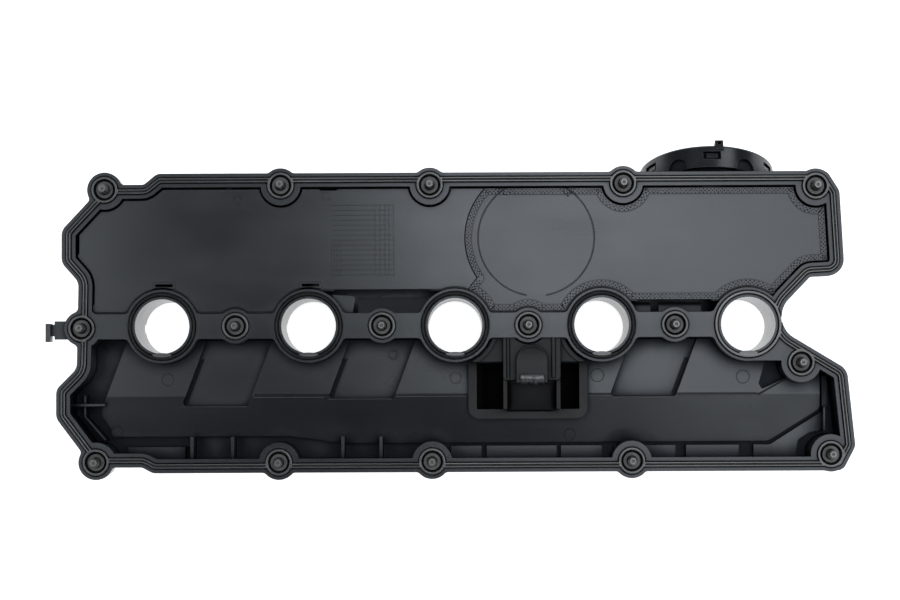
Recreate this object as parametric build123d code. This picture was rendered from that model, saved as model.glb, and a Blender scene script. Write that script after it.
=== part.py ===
from build123d import *
from math import cos, sin, radians
import os

# Plastic valve cover of an inline five-cylinder engine. All sizes are in millimetres.
# The gasket seat of the flange lies in z = 0. The engine side faces +Z, the outer side faces -Z.
# The origin is on the axis of the middle coil well, X runs along the crankshaft.

# --- layout taken from the cylinder head ---
reach = 300.0
well_count = 5
cylinder_pitch = 88.0
top_edge_y = 92.0
bottom_edge_y = -88.0

# --- flange and its fasteners ---
flange_thickness = 9.0
flange_width = 8.4
ear_radius = 10.5
ear_blend = 3.0
boss_radius = 12.0
boss_depth = 24.0
bolt_hole_radius = 5.9
sleeve_radius = 5.1
sleeve_bore = 3.1
bolt_radius = 2.5
bolt_shank_radius = 2.1
bolt_thread_start = 1.6
bolt_reach = 11.0
bolt_head_across = 8.0
bolt_head_height = 4.2
bolt_collar_radius = 6.5
bolt_collar_height = 1.6
grommet_collar = 2.4
grommet_inset = 6.0

# --- gasket ---
gasket_inset = 2.3
gasket_width = 3.7
gasket_depth = 2.6
gasket_proud = 1.2
gasket_slit = 0.7
ring_seal_width = 2.5
fit_clearance = 0.05

# --- coil wells ---
well_bore_radius = 16.4
well_seal_radius = 18.0
well_rim_radius = 22.2
well_tower_depth = 58.0
well_collar_height = 6.0
well_collar_width = 1.6
seal_tab_radius = 40.0
seal_tab_wall = 0.3
key_width = 5.0
key_depth = 1.6
key_height = 5.0

# --- walls and roofs ---
wall = 3.0
skirt_inset = 1.8
spine_half_width = 7.6
spine_depth = 10.0
chamber_depth = 44.0
cam_depth = 32.0
panel_depth = 18.0
roof_fillet = 5.0

# --- raised panel of the cam side ---
panel_slope_y = -42.0
panel_edge_y = -66.5
panel_slope_drop = 4.0
recess_depth = 4.5
recess_width = 40.0
recess_slant = 0.375
recess_groove_width = 2.2
recess_groove_depth = 1.6
corner_recess_depth = 8.0
crease_width = 0.9
crease_depth = 0.5

# --- ribs and shelves round the raised panel ---
rib_thickness = 2.0
shelf_y = -72.6
shelf_depth = 21.0
low_shelf_depth = 23.0
side_wall_depth = 14.0
side_wall_thickness = 1.2
baffle_gap = 24.0
ramp_high = 0.5
ramp_low = 5.0
ramp_sheet = 3.0

# --- separator plates ---
plate_thickness = 2.5
plate_drop = 2.0
plate_gap = 1.2
plate_rim = 3.6
plate_step = 0.5
left_drain_y = 21.9
right_drain_y = 15.2
plate_slot_length = 10.5
plate_slot_width = 1.6
edge_notch_x = -76.0
lobe_x = 5.0
lobe_y = 52.5
lobe_radius = 42.6
lobe_line_radius = 35.0

# --- oil filler ---
filler_x = 2.0
filler_y = -39.0
filler_throat_radius = 15.0
filler_neck_wall = 3.5
filler_neck_depth = 62.0
ledge_height = 3.0
ledge_radius = 12.6
lug_height = 3.0
lug_width = 10.0
cap_seal_thickness = 1.6
grip_count = 8
cap_radius = 23.0
cap_height = 9.0
cap_clearance = 0.3

# --- splash guard under the filler ---
guard_half_width = 36.2
guard_window_half = 31.0
guard_low_y = -56.5
guard_sheet = 2.4
guard_web_drop = 3.4
guard_border = 6.0
guard_leg = 4.0
sump_inset = 1.0
guard_cheek_angle = 20.0
hood_half_width = 17.2
hood_low_y = -33.0
rail_width = 2.8
rail_height = 0.9
rail_groove = 1.8
tongue_radius = 9.3
tongue_height = 2.8
tongue_rim = 0.8

# --- crankcase breather ---
breather_x = -20.4
breather_y = 95.0
breather_z = -46.0
breather_tilt = 71.0
breather_radius = 41.2
breather_height = 14.3
cap_room = 1.0
breather_wall = 2.4
snap_count = 6
snap_along = 4.0
lug_stand = 1.8
diaphragm_thickness = 1.4
seat_rim = 2.2
plate_height = 2.0
valve_radius = 20.0
valve_travel = 3.0
stem_radius = 4.0
port_radius = 6.0
spring_radius = 11.0
spring_wire = 1.2
spring_turns = 2
spout_radius = 5.0
spout_length = 18.0
vent_x = 4.5
breather_depth = 28.0

# --- places worked out from the layout ---
well_xs = [(i - (well_count - 1) / 2) * cylinder_pitch for i in range(well_count)]
left_x = well_xs[0]
right_x = well_xs[-1]
spine_bolts = [((a + b) / 2, 0.0) for a, b in zip(well_xs, well_xs[1:])]
filler_centre = (spine_bolts[2][0] + filler_x, filler_y)
housing_radius = breather_radius - breather_wall - cap_clearance
seat_along = breather_wall + seat_rim
port_seat_along = seat_along + plate_height + valve_travel + cap_clearance
shelf_along = port_seat_along + 1.6
port_along = breather_height + cap_room + spout_radius
edge_bolts = [
    (left_x - 34.6, top_edge_y - 9.6),
    (left_x + 71.3, top_edge_y - 7.5),
    (-15.0, top_edge_y - 7.5),
    (right_x - 74.6, top_edge_y - 7.0),
    (right_x + 41.2, top_edge_y - 9.0),
    (right_x + 31.6, -23.2),
    (right_x + 48.8, bottom_edge_y + 9.8),
    (right_x - 70.4, bottom_edge_y + 6.4),
    (-14.1, bottom_edge_y + 6.4),
    (left_x + 70.0, bottom_edge_y + 6.2),
    (left_x - 39.7, bottom_edge_y + 6.6),
    (left_x - 48.4, -1.0),
]
bolt_places = edge_bolts + spine_bolts


def face_from(corners):
    """Flat face bounded by straight sides, each corner given as x, y and its rounding radius."""
    points = [(x, y) for x, y, _ in corners]
    radii = [radius for _, _, radius in corners]
    return make_face(FilletPolyline(*points, radius=radii, close=True))


def prism(sketch, low, high):
    """The sketch extruded from one height to another."""
    return extrude(Pos(0, 0, low) * sketch, high - low)


def disc(place, radius, low, high):
    """Upright cylinder at a place between two heights."""
    return Pos(place[0], place[1], (low + high) / 2) * Cylinder(radius, high - low)


def block(x_range, y_range, z_range):
    """Box given by its limits."""
    sizes = [high - low for low, high in (x_range, y_range, z_range)]
    middle = [(high + low) / 2 for low, high in (x_range, y_range, z_range)]
    return Pos(*middle) * Box(*sizes)


def circles(places, radius):
    """Flat discs of one radius at several places."""
    return [Pos(x, y) * Circle(radius) for x, y in places]


def edge_face():
    """Outline of the flange without its bolt ears."""
    return face_from([
        (left_x - 3, top_edge_y, 6), (right_x + 48, top_edge_y, 5), (right_x + 55.5, top_edge_y - 12, 8),
        (right_x + 58.2, 29.2, 10), (right_x + 37.4, 28.2, 3), (right_x + 11.4, 1.4, 14.7),
        (right_x + 59, -27.4, 9), (right_x + 63.6, bottom_edge_y + 14.5, 6),
        (right_x + 56, bottom_edge_y, 6), (left_x - 5.5, bottom_edge_y, 8),
        (left_x - 12, bottom_edge_y + 3.5, 4), (left_x - 41.3, bottom_edge_y + 3.5, 3),
        (left_x - 63.6, -54.8, 8), (left_x - 63.6, -37.5, 7), (left_x - 51.2, -25, 8),
        (left_x - 50.2, 27, 8), (left_x - 60.4, 38.5, 8), (left_x - 60.4, 58.2, 8),
        (left_x - 35, top_edge_y - 6.6, 4), (left_x - 11, top_edge_y - 6.6, 4),
    ])


def flange_face():
    """Flange outline with the bolt ears blended in."""
    with_ears = edge_face() + circles(edge_bolts, ear_radius)
    return offset(offset(with_ears, ear_blend), -ear_blend)


def inner_face():
    """Area inside the flange band and clear of the bolt bosses."""
    return offset(edge_face(), -flange_width) - circles(edge_bolts, boss_radius)


def spine_face():
    """The band that joins the coil wells and the centre bolts along the middle."""
    ends = (left_x - 46, right_x + 16)
    bar = Pos((ends[0] + ends[1]) / 2, 0) * Rectangle(ends[1] - ends[0], 2 * spine_half_width)
    web = face_from([
        (right_x + 2, -5, 0), (right_x + 24, -5, 0), (right_x + 36, -18, 0),
        (right_x + 22, -22, 3), (right_x + 2, -22, 0),
    ])
    joined = bar + web + circles(well_places(), well_rim_radius) + circles(spine_bolts, ear_radius)
    return offset(offset(joined, ear_blend), -ear_blend) & edge_face()


def chamber_face():
    """Open area on the separator side, above the spine."""
    upper = Pos(0, top_edge_y / 2) * Rectangle(2 * reach, top_edge_y)
    return (inner_face() & upper) - spine_face()


def cam_face():
    """Open area on the cam side, below the spine."""
    lower = Pos(0, bottom_edge_y / 2) * Rectangle(2 * reach, -bottom_edge_y)
    return (inner_face() & lower) - spine_face()


def gasket_face(slack):
    """Flat shape of the one-piece gasket, widened on each side by slack."""
    outer = offset(edge_face(), -gasket_inset + slack)
    inner = offset(edge_face(), -gasket_inset - gasket_width - slack)
    band = outer - inner
    rings = circles(edge_bolts, bolt_hole_radius + ring_seal_width + slack)
    last_well = Pos(right_x, 0) * Circle(well_seal_radius + ring_seal_width + slack)
    bore = Pos(right_x, 0) * Circle(well_seal_radius - slack)
    shape = band + rings + last_well - bore + Pos(right_x, 0) * seal_tab(slack)
    return shape - circles(edge_bolts, bolt_hole_radius)


def seal_tab(slack):
    """Lens-shaped locating tab on the lower side of a well seal, reaching almost to the bore."""
    top = well_bore_radius + seal_tab_wall - slack
    lens = Pos(0, -top - seal_tab_radius) * Circle(seal_tab_radius)
    return lens & Circle(well_seal_radius + ring_seal_width / 2)


def well_seal_face(x, slack):
    """Flat shape of one coil well seal with its locating tab."""
    ring = Circle(well_seal_radius + ring_seal_width + slack) - Circle(well_seal_radius - slack)
    return Pos(x, 0) * (ring + seal_tab(slack))


def breather_plane(along):
    """Plane across the breather axis, a distance inward from the outer face of its cap."""
    tilt = radians(breather_tilt)
    outward = Vector(0, sin(tilt), -cos(tilt))
    origin = Vector(right_x + breather_x, breather_y, breather_z) - outward * along
    return Plane(origin=origin, x_dir=(1, 0, 0), z_dir=outward * -1)


def breather_disc(along, length, radius):
    """Cylinder about the breather axis from a distance inward of the cap's outer face."""
    return breather_plane(along) * Pos(0, 0, length / 2) * Cylinder(radius, length)


def flange():
    """Flange plate with ears, and the spine with its bars between the wells."""
    plate = prism(flange_face(), -flange_thickness, 0) - prism(inner_face(), -flange_thickness, 0)
    spine = prism(spine_face(), -spine_depth, 0)
    bosses = [disc(place, ear_radius - 1, -boss_depth, -flange_thickness) for place in bolt_places]
    return plate + spine + bosses


def half_shell(side, depth):
    """Skirt and roof on one side of the spine, before it is hollowed, with a rounded roof edge."""
    edge = top_edge_y if side > 0 else -bottom_edge_y
    half = Pos(0, side * edge / 2) * Rectangle(2 * reach, edge + 2 * spine_half_width)
    outline = offset(edge_face(), -skirt_inset) & half
    body = prism(outline, -depth, -flange_thickness)
    roof = body.faces().sort_by(Axis.Z)[0]
    return fillet(roof.edges(), roof_fillet)


def parallelogram(left, low_y, width, high_y):
    """Four-sided outline that leans to the right at the slope of the recesses."""
    lean = recess_slant * (high_y - low_y)
    corner = min(2, width / 4)
    return face_from([
        (left, low_y, corner), (left + width, low_y, corner),
        (left + width + lean, high_y, 0), (left + lean, high_y, 0),
    ])


def recess_starts():
    """Lower left corners of the three leaning recesses, beside the first, second and fourth well."""
    return [(well_xs[0] + 10, -48), (well_xs[1] + 10.5, -44), (well_xs[3] + 5.5, -43)]


def recess_faces():
    """Outlines of the leaning recesses."""
    return [parallelogram(x, y, recess_width, -spine_half_width) for x, y in recess_starts()]


def recess_grooves():
    """Narrow groove in the floor of each recess, on the left of two and the right of the last."""
    faces = []
    for index, (x, y) in enumerate(recess_starts()):
        shift = 1.0 if index < 2 else recess_width - recess_groove_width
        faces.append(parallelogram(x + shift, y + 1.5, recess_groove_width, -spine_half_width - 12))
    return faces


def corner_recess():
    """Deep pocket in the panel beside the last well, below the bolt of the web."""
    return face_from([
        (right_x + 12, -22, 0), (right_x + 8, -35.7, 1.5), (right_x + 10, -38.8, 1),
        (right_x + 20.5, -34, 1), (right_x + 26, -31, 0), (right_x + 26, -22, 0),
    ])


def crease_lines():
    """Thin groove along the crease of the panel, with a rising end beside the corner recess."""
    across = (panel_slope_y, panel_slope_y + crease_width)
    level = block((left_x + 54, right_x + 6), across, (-crease_depth, 1))
    rise = face_from([
        (right_x + 6, panel_slope_y, 0), (right_x + 8, panel_slope_y - 0.6, 0), (right_x + 24, -33.4, 0),
        (right_x + 24, -32.5, 0), (right_x + 8, panel_slope_y + 0.4, 0),
        (right_x + 6, panel_slope_y + crease_width, 0),
    ])
    return [Pos(0, 0, -panel_depth) * level, prism(rise, -panel_depth - crease_depth, -panel_depth + 1)]


def panel_face(inset):
    """Outline of the raised panel of the cam side, drawn in by inset."""
    face = face_from([
        (left_x - 23, -8, 0), (left_x - 39.5, -52, 6), (left_x - 33, -62, 5), (left_x - 33, panel_edge_y, 2),
        (left_x + 76, panel_edge_y, 10), (left_x + 108, panel_edge_y - 4.5, 10),
        (right_x + 14, panel_edge_y - 4, 6), (right_x + 45, -51, 4), (right_x + 45, -8, 0),
    ])
    return offset(face, -inset) if inset else face


def panel_slope():
    """Wedge taken off the lower part of the panel, so that it falls away towards the flange."""
    run = panel_slope_y - panel_edge_y + 8
    drop = panel_slope_drop * run / (panel_slope_y - panel_edge_y)
    corners = [(panel_slope_y, 0), (panel_slope_y - run, -drop), (panel_slope_y - run, 1), (panel_slope_y, 1)]
    face = make_face(Polyline(*corners, close=True))
    wedge = extrude(Plane.YZ * face, reach, both=True)
    return Pos(0, 0, -panel_depth) * wedge


def raised_panel():
    """The raised panel with its slope and recesses, as a sheet of even wall with legs down to the roof."""
    skin = prism(panel_face(0), -cam_depth + wall, -panel_depth) - panel_slope()
    hollow = prism(panel_face(wall), -cam_depth, -panel_depth - wall)
    hollow -= Pos(0, 0, -wall) * panel_slope()
    floor = -panel_depth - recess_depth
    recesses = [prism(face, floor, -panel_depth) for face in recess_faces()]
    recesses += [prism(face, floor - recess_groove_depth, -panel_depth) for face in recess_grooves()]
    recesses.append(prism(corner_recess(), -panel_depth - corner_recess_depth, -panel_depth))
    pads = [prism(offset(face, wall), floor - wall, -panel_depth - wall) for face in recess_faces()]
    pads.append(prism(offset(corner_recess(), wall), -cam_depth, -panel_depth - wall))
    return skin - recesses - crease_lines(), hollow - pads


def floor_ribs():
    """Upright ribs between the raised panel and the lower flange wall, and one across the left end."""
    low = bottom_edge_y + flange_width - 2
    floor = -cam_depth + wall
    half = rib_thickness / 2
    xs = [left_x + 17, left_x + 41.5, left_x + 108, left_x + 131]
    ribs = [block((x - half, x + half), (low, panel_edge_y), (floor, -flange_thickness)) for x in xs]
    cross = block((left_x - 56, left_x - 36), (-47.8, -46.2), (floor, -flange_thickness - 4))
    return ribs + [cross]


def low_shelves():
    """Flat steps between the panel and the lower flange wall, parted by narrow gaps."""
    low = bottom_edge_y + flange_width - 1
    floor = -cam_depth + wall
    starts = [left_x - 23, -3, 18.8, 63.8, 96, 139.8]
    ends = [left_x + 12, 15.8, 61.4, 89, 133.5, 172]
    steps = [block(x_range, (low, shelf_y), (floor, -shelf_depth)) for x_range in zip(starts, ends)]
    corner = face_from([
        (right_x + 5, shelf_y, 0), (right_x + 15, shelf_y, 5), (right_x + 47, -52.4, 0),
        (right_x + 47, -64.3, 3), (right_x + 39, -65.5, 4), (right_x + 32, -70, 3),
        (right_x + 31, low, 0), (right_x + 5, low, 0),
    ])
    return steps + [prism(corner, floor, -low_shelf_depth)]


def side_walls():
    """Thin upright walls near both ends of the cam side."""
    floor = -cam_depth + wall
    top = -side_wall_depth
    right = right_x + 46.4
    parts = [block((right, right + side_wall_thickness), (-64.3, -50), (floor, top))]
    parts.append(block((right, right + 3.4), (-50, -31), (floor, -shelf_depth)))
    bend = (left_x - 47.5, -54)
    end = (left_x - 35, -68)
    parts.append(block((bend[0] - side_wall_thickness, bend[0]), (bend[1], -41), (floor, top)))
    slant = make_face(Polyline(
        bend, end, (end[0] - side_wall_thickness, end[1] - 0.6), (bend[0] - side_wall_thickness, bend[1]),
        close=True))
    return parts + [prism(slant, floor, top)]


def ramp(x_range, high_y):
    """Sheet that slopes gently down from the spine into the opening beside a separator plate."""
    start = spine_half_width - 1
    corners = [(start, -ramp_high), (high_y, -ramp_low), (high_y, -ramp_low - ramp_sheet),
               (start, -ramp_high - ramp_sheet - 2)]
    face = make_face(Polyline(*corners, close=True))
    middle = (x_range[0] + x_range[1]) / 2
    return Pos(middle, 0, 0) * extrude(Plane.YZ * face, (x_range[1] - x_range[0]) / 2, both=True)


def spine_ramps():
    """Ramps beside the spine, between the second and third and the fourth and fifth well."""
    wide = ramp((well_xs[1] + 29.8, well_xs[2] - 14), left_drain_y - 4.9)
    tile = face_from([
        (well_xs[1] + 14, 18.8, 0), (well_xs[1] + 26.8, 17.9, 0.5), (well_xs[1] + 28, 16.5, 0.5),
        (well_xs[1] + 26.2, 6, 0), (well_xs[1] + 18, 6, 0),
    ])
    narrow = ramp((well_xs[3] + 18, well_xs[3] + 29.6), right_drain_y - 1.7)
    broad = ramp((well_xs[3] + 34.4, well_xs[3] + 60), right_drain_y - 1.7)
    return [wide, prism(tile, -ramp_low - ramp_sheet, -ramp_high - 2), narrow, broad]


def towers():
    """Coil well towers, each with a thicker collar at its outer end."""
    parts = []
    for place in well_places():
        parts.append(disc(place, well_bore_radius + wall, -well_tower_depth, 0))
        collar_base = -well_tower_depth + well_collar_height
        collar = well_bore_radius + wall + well_collar_width
        parts.append(disc(place, collar, -well_tower_depth, collar_base))
    return parts


def below_plates():
    """Everything under the separator plates, used to trim what would stand up through them."""
    top = -plate_drop - plate_thickness - fit_clearance
    return block((-reach, reach), (-reach, reach), (-reach, top))


def breather_branch(start, end, radius):
    """Radial tube across the breather axis, on the side away from the engine."""
    middle = Pos((start + end) / 2, 0, 0) * Rot(0, 90, 0)
    return breather_plane(port_along) * Rot(0, 0, 225) * middle * Cylinder(radius, end - start)


def breather_housing():
    """Drum under the breather cap with its snap lugs, valve seat, spring shelf and outlet spout."""
    drum = breather_disc(seat_along, breather_depth - seat_along, housing_radius - wall)
    rim = breather_disc(seat_along, 11, housing_radius)
    cavity = breather_disc(seat_along, breather_depth - wall - seat_along, housing_radius - 2 * wall)
    tube = breather_disc(port_seat_along, breather_depth - port_seat_along, port_radius + wall)
    shelf = breather_disc(shelf_along, 1.4, spring_radius + 2.5)
    spout = breather_branch(0, housing_radius + spout_length, spout_radius)
    body = drum + rim - cavity + tube + shelf + spout
    for index in range(snap_count):
        angle = 90 + index * 360 / snap_count
        lug = Pos(housing_radius, 0, snap_along + 2.5) * Box(2 * lug_stand, 7, 2.6)
        body += breather_plane(0) * Rot(0, 0, angle) * lug
    return body & below_plates()


def breather_recess(grown):
    """Round recess in the upper corner of the chamber that leaves room for the breather cap."""
    depth = breather_height + cap_room
    return breather_disc(-cap_room * 20, cap_room * 20 + depth + grown, breather_radius + cap_room + grown)


def breather_ducts():
    """Gas passages of the breather: the port, its way out through the spout, and the inlet window."""
    port = breather_disc(port_seat_along, breather_depth - wall - port_seat_along, port_radius)
    outlet = breather_branch(0, housing_radius + spout_length, spout_radius - 1.6)
    inlet = breather_plane(breather_depth - wall) * Pos(0, 22, wall / 2) * Box(24, 9, 2 * wall)
    return [port, outlet, inlet]


def breather_gussets():
    """Ribs that stiffen the back of the drum against the chamber roof."""
    gussets = []
    for offset_x in (-16, 0, 16):
        x = right_x + breather_x + offset_x
        corners = [(66, -chamber_depth), (24, -chamber_depth), (60, -chamber_depth - 20)]
        face = make_face(Polyline(*corners, close=True))
        gussets.append(Pos(x, 0, 0) * extrude(Plane.YZ * face, wall / 2, both=True))
    return gussets


def hose_hook():
    """Small hook on the left edge of the flange, open towards the lower side."""
    tab = block((left_x - 65, left_x - 54), (-7.5, 3.5), (-6, -3))
    neck = block((left_x - 69.5, left_x - 64), (-5.5, 1.5), (-6, -3))
    lip = block((left_x - 70, left_x - 67), (-9, 2), (-9, 0))
    return [tab, neck, lip]


def filler_pocket(grown):
    """Sump in the raised panel round the filler opening, widened by grown on every side."""
    half = guard_window_half - sump_inset + grown
    x_range = (filler_centre[0] - half, filler_centre[0] + half)
    y_range = (guard_low_y + guard_border - grown, -23 + grown)
    return block(x_range, y_range, (-cam_depth + wall - grown, -panel_depth + 1))


def filler_throat():
    """Opening through the neck, with a ledge that has two gaps for the lugs of the cap."""
    low = -filler_neck_depth
    throat = disc(filler_centre, filler_throat_radius, low + ledge_height, -panel_depth)
    lip = disc(filler_centre, ledge_radius, low, low + ledge_height)
    slot = Box(lug_width + 3, 2 * filler_throat_radius, ledge_height)
    gap = Pos(*filler_centre, low + ledge_height / 2) * slot
    gap &= disc(filler_centre, filler_throat_radius, low, low + ledge_height)
    return throat + lip + gap


def spine_valley():
    """Groove along the outer side of the spine, opened out round the heads of the centre bolts."""
    length = right_x - left_x
    bar = Pos(0, 0) * Rectangle(length, 2 * (spine_half_width - wall))
    valley = bar + circles(spine_bolts, bolt_collar_radius + 1.5)
    valley -= circles(well_places(), well_rim_radius)
    return prism(valley, -chamber_depth, -boss_depth)


def chamber_baffles():
    """Walls inside the separator chamber that carry the separator plates and turn the blow-by gas."""
    top = -plate_drop - plate_thickness
    xs = [left_x - 20, left_x + 40, left_x + 92, lobe_x - 8, lobe_x + 95, right_x - 25, right_x + 25]
    walls = []
    for index, x in enumerate(xs):
        y_range = (baffle_gap, top_edge_y) if index % 2 else (0, top_edge_y - baffle_gap)
        walls.append(block((x - wall / 2, x + wall / 2), y_range, (-chamber_depth + wall, top)))
    return walls


def key_notch(x):
    """Small key slot at the outer end of a coil well."""
    middle = -well_tower_depth + key_height / 2
    return Pos(x - well_bore_radius, 0, middle) * Box(2 * key_depth, key_width, key_height)


def well_places():
    """Centres of the coil wells."""
    return [(x, 0.0) for x in well_xs]


def bolt_openings():
    """Holes for the mounting bolts, and the pockets in the outer side that give room to their heads."""
    holes = [disc(place, bolt_hole_radius, -boss_depth, 0) for place in bolt_places]
    pocket = boss_radius - wall
    pockets = [disc(place, pocket, -2 * chamber_depth, -boss_depth) for place in edge_bolts]
    return holes + pockets


def seal_grooves():
    """Grooves in the flange face for the gasket and the ring seals."""
    low = -gasket_depth
    slack = fit_clearance
    grooves = [prism(gasket_face(slack), low, 0)]
    grooves += [prism(well_seal_face(x, slack), low, 0) for x in well_xs[:-1]]
    ring = bolt_hole_radius + ring_seal_width + slack
    return grooves + [disc(place, ring, low, 0) for place in spine_bolts]


def cover_shell():
    """The moulded cover: flange, spine, skirts and roofs, coil towers, breather drum and filler neck."""
    body = flange() + half_shell(1, chamber_depth) + half_shell(-1, cam_depth)
    body -= prism(chamber_face(), -chamber_depth + wall, 0)
    body -= prism(cam_face(), -cam_depth + wall, 0)
    open_cam = prism(cam_face(), -cam_depth, 0)
    skin, hollow = raised_panel()
    body += skin & open_cam
    body -= (hollow & open_cam) - filler_pocket(wall)
    inside_chamber = prism(chamber_face(), -chamber_depth, 0)
    body += [baffle & inside_chamber for baffle in chamber_baffles()]
    body += [rib & open_cam for rib in floor_ribs() + low_shelves() + side_walls()]
    body += spine_ramps()
    body -= spine_valley()
    body += towers() + hose_hook()
    neck_radius = filler_throat_radius + filler_neck_wall
    body += disc(filler_centre, neck_radius, -filler_neck_depth, -cam_depth + wall)
    body += breather_recess(wall) & half_shell(1, chamber_depth) & below_plates()
    body -= breather_recess(0)
    drum_space = breather_disc(seat_along, breather_depth - wall - seat_along, housing_radius - 2 * wall)
    body -= drum_space & below_plates()
    body += [breather_housing()] + breather_gussets()
    body -= [filler_pocket(0), filler_throat()] + breather_ducts()
    body -= [disc(place, well_bore_radius, -well_tower_depth, 0) for place in well_places()]
    body -= [key_notch(x) for x in well_xs]
    body -= bolt_openings()
    body -= seal_grooves()
    return body


def lip_slit(outline, inner):
    """Shallow groove along the middle of a band, which splits its face into two sealing lips."""
    return prism(outline - inner, gasket_proud - gasket_slit, gasket_proud)


def perimeter_gasket():
    """One-piece moulded gasket: double-lip band, bolt rings and the ring of the last coil well."""
    body = prism(gasket_face(0), -gasket_depth, gasket_proud)
    middle = gasket_inset + gasket_width / 2
    slit_outer = offset(edge_face(), -middle + gasket_slit / 2)
    slit_inner = offset(edge_face(), -middle - gasket_slit / 2)
    keep_clear = circles(edge_bolts, bolt_hole_radius + ring_seal_width)
    keep_clear.append(Pos(right_x, 0) * Circle(well_seal_radius + ring_seal_width))
    return body - lip_slit(slit_outer - keep_clear, slit_inner)


def coil_well_seal(x):
    """Ring seal round one coil well, with two lips and its locating tab."""
    body = prism(well_seal_face(x, 0), -gasket_depth, gasket_proud)
    middle = well_seal_radius + ring_seal_width / 2
    slit = Pos(x, 0) * (Circle(middle + gasket_slit / 2) - Circle(middle - gasket_slit / 2))
    return body - prism(slit, gasket_proud - gasket_slit, gasket_proud)


def ring_seal(place):
    """Ring seal round one centre bolt."""
    outer = disc(place, bolt_hole_radius + ring_seal_width, -gasket_depth, gasket_proud)
    return outer - disc(place, bolt_hole_radius, -gasket_depth, gasket_proud)


def mounting_bolt(place):
    """Captive flanged hexagon bolt with a waisted shank, its threaded end standing out past the gasket."""
    seat = -boss_depth - grommet_collar
    head_low = seat - bolt_collar_height - bolt_head_height
    head = Pos(place[0], place[1], head_low) * extrude(
        RegularPolygon(bolt_head_across / 2, 6, major_radius=False), bolt_head_height)
    collar = disc(place, bolt_collar_radius, seat - bolt_collar_height, seat)
    shank = disc(place, bolt_shank_radius, seat, bolt_thread_start)
    thread = disc(place, bolt_radius, bolt_thread_start, bolt_reach)
    thread = chamfer(thread.edges().sort_by(Axis.Z)[-1], 0.6)
    dimple = disc(place, 0.9, bolt_reach - 0.8, bolt_reach)
    return head + collar + shank + thread - dimple


def bolt_sleeve(place):
    """Steel spacer tube that limits how far the cover is clamped down."""
    seat = -boss_depth - grommet_collar
    return disc(place, sleeve_radius, seat, 0) - disc(place, sleeve_bore, seat, 0)


def bolt_grommet(place):
    """Rubber mount between the sleeve and the cover, with a collar on the outer side."""
    seat = -boss_depth - grommet_collar
    inside = disc(place, bolt_hole_radius, -boss_depth, -grommet_inset)
    collar = disc(place, bolt_collar_radius, seat, -boss_depth)
    return inside + collar - disc(place, sleeve_radius, seat, 0)


def plate_area():
    """Area of the separator chamber that the two separator plates cover, with a gap all round."""
    return offset(chamber_face(), -plate_gap)


def lobe_centre():
    """Centre of the round lobe of the right separator plate."""
    return (cylinder_pitch / 2 + lobe_x, lobe_y)


def right_side(grown):
    """Area that belongs to the right separator plate, widened by grown."""
    lobe = Pos(*lobe_centre()) * Circle(lobe_radius + grown)
    start = lobe_centre()[0]
    rest = Pos(start + reach / 2, top_edge_y / 2) * Rectangle(reach, 2 * top_edge_y)
    foot = face_from([
        (15 - grown, 30.2, 0), (7.8 - grown, 21.2, 0), (7.8 - grown, 4, 0), (60, 4, 0), (60, 40, 0),
    ])
    return lobe + rest + foot


def raised_rim(face, low):
    """Plate with a slightly higher rim along its whole edge."""
    sheet = prism(face, low, low + plate_thickness)
    field = offset(face, -plate_rim)
    return sheet - prism(field, low + plate_thickness - plate_step, low + plate_thickness)


def separator_plate_left():
    """Left cover plate of the oil separator, cut back above the drain gap and pierced by small slots."""
    face = plate_area() - right_side(plate_gap / 2)
    drain = Pos((well_xs[1] + well_xs[2]) / 2, left_drain_y / 2) * Rectangle(cylinder_pitch, left_drain_y)
    face -= drain
    slot = Rectangle(plate_slot_length, plate_slot_width)
    slots = [Pos(x + 1, well_rim_radius + 2.4) * slot for x in well_xs[:2]]
    slots.append(Pos(edge_notch_x, top_edge_y - flange_width - plate_gap) * slot)
    slots.append(Pos(left_x - 50.8, 50) * Rectangle(plate_slot_width, plate_slot_length + 2))
    low = -plate_drop - plate_thickness
    body = prism(face - slots, low, -plate_drop)
    for x in well_xs[:2]:
        frame = Rectangle(plate_slot_length + 2.4, plate_slot_width + 2.4) - slot
        body += prism(Pos(x + 1, well_rim_radius + 2.4) * frame & face, -plate_drop, -plate_drop + 0.4)
    return body


def separator_plate_right():
    """Right cover plate of the oil separator, with its welded rim and round drain field."""
    face = plate_area() & right_side(0)
    drain = Pos((well_xs[3] + well_xs[4]) / 2, right_drain_y / 2) * Rectangle(cylinder_pitch, right_drain_y)
    face -= drain
    low = -plate_drop - plate_thickness
    body = raised_rim(face, low)
    ring = Circle(lobe_line_radius + 0.4) - Circle(lobe_line_radius - 0.4)
    ring -= Pos(0, -lobe_line_radius) * Rectangle(12, 12)
    line = prism(Pos(*lobe_centre()) * ring, low + plate_thickness - 2 * plate_step, low + plate_thickness)
    return body - line


def guard_frame(window_top):
    """Flat frame of the splash guard round the filler, with its window and the rounded lower corners."""
    x = filler_centre[0]
    middle = spine_bolts[2][0]
    outline = face_from([
        (middle - guard_half_width, window_top + guard_leg, 0),
        (middle + guard_half_width, window_top + guard_leg, 0),
        (middle + guard_half_width, guard_low_y, 7), (middle - guard_half_width, guard_low_y, 7),
    ])
    low_y = guard_low_y + guard_border
    window = block(guard_window(), (low_y, window_top), (-reach, 0))
    dip = block((x - hood_half_width + guard_sheet, x + 13), (low_y - 1.5, low_y + 1), (-reach, 0))
    return prism(outline, -panel_depth, -panel_depth + guard_sheet) - window - dip


def guard_window():
    """Limits of the window of the splash guard along the cover."""
    middle = spine_bolts[2][0]
    return (middle - guard_window_half, middle + guard_window_half)


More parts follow.
